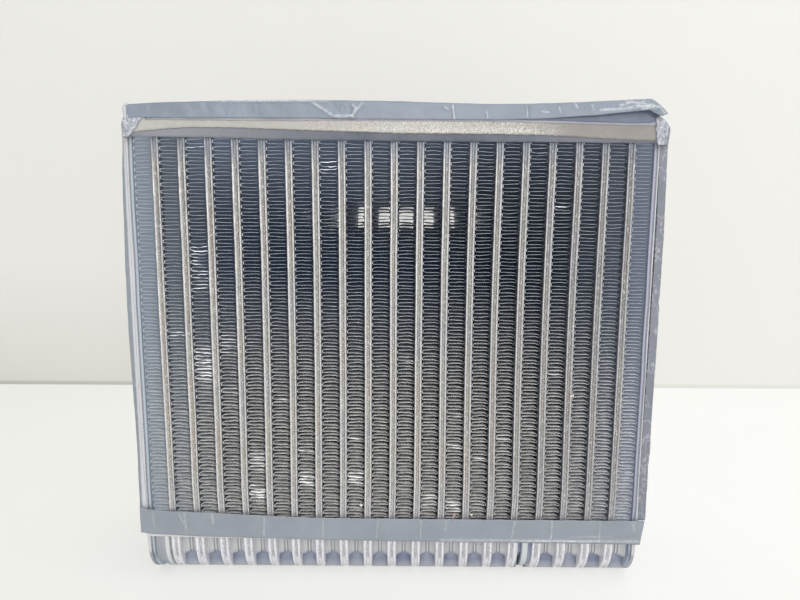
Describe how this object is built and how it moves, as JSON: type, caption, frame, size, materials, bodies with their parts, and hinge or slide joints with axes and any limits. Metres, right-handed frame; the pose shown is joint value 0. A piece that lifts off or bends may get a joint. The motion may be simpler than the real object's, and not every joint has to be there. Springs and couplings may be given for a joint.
{
  "type": "evaporator core",
  "caption": "Air conditioner evaporator core: flat plate tubes with folded fins, cups joined as a tank along the base, foam and film seals round the rim and two pipe stubs at the back.",
  "frame": {"origin": "middle of the tank's base: the foot of the middle tube, halfway between the front face and the back face", "axes": "+X along the stack of tubes to the right as seen from the front, +Y from the front face to the back, +Z from the tank up to the foam"},
  "size_m": [0.2082, 0.0927, 0.1946],
  "materials": {
    "plate_aluminium": "dull brazed aluminium with dust in the grooves",
    "fin_aluminium": "thin dull aluminium foil",
    "pipe_aluminium": "plain drawn aluminium",
    "side_foam": "grey closed-cell foam with a film skin",
    "top_foam": "beige grey foam with crumbled edges",
    "strip_foam": "cream foam",
    "film": "creased blue grey film with a soft shine"
  },
  "bodies": {
    "root": {"tube_01": "plate_aluminium", "tube_02": "plate_aluminium", "tube_03": "plate_aluminium", "tube_04": "plate_aluminium", "tube_05": "plate_aluminium", "tube_06": "plate_aluminium", "tube_07": "plate_aluminium", "tube_08": "plate_aluminium", "tube_09": "plate_aluminium", "tube_10": "plate_aluminium", "tube_11": "plate_aluminium", "tube_12": "plate_aluminium", "tube_13": "plate_aluminium", "tube_14": "plate_aluminium", "tube_15": "plate_aluminium", "tube_16": "plate_aluminium", "tube_17": "plate_aluminium", "tube_18": "plate_aluminium", "tube_19": "plate_aluminium", "side_plate_left": "plate_aluminium", "side_plate_right": "plate_aluminium", "end_cap_left": "plate_aluminium", "outlet_block": "plate_aluminium", "fin_01": "fin_aluminium", "fin_02": "fin_aluminium", "fin_03": "fin_aluminium", "fin_04": "fin_aluminium", "fin_05": "fin_aluminium", "fin_06": "fin_aluminium", "fin_07": "fin_aluminium", "fin_08": "fin_aluminium", "fin_09": "fin_aluminium", "fin_10": "fin_aluminium", "fin_11": "fin_aluminium", "fin_12": "fin_aluminium", "fin_13": "fin_aluminium", "fin_14": "fin_aluminium", "fin_15": "fin_aluminium", "fin_16": "fin_aluminium", "fin_17": "fin_aluminium", "fin_18": "fin_aluminium", "fin_19": "fin_aluminium", "fin_20": "fin_aluminium", "inlet_pipe": "pipe_aluminium", "outlet_pipe": "pipe_aluminium", "side_foam_left": "side_foam", "side_foam_right": "side_foam", "rear_foam_strip": "side_foam", "top_foam": "top_foam", "front_foam_strip": "strip_foam", "top_film": "film", "front_film_band": "film"}
  },
  "joints": []
}
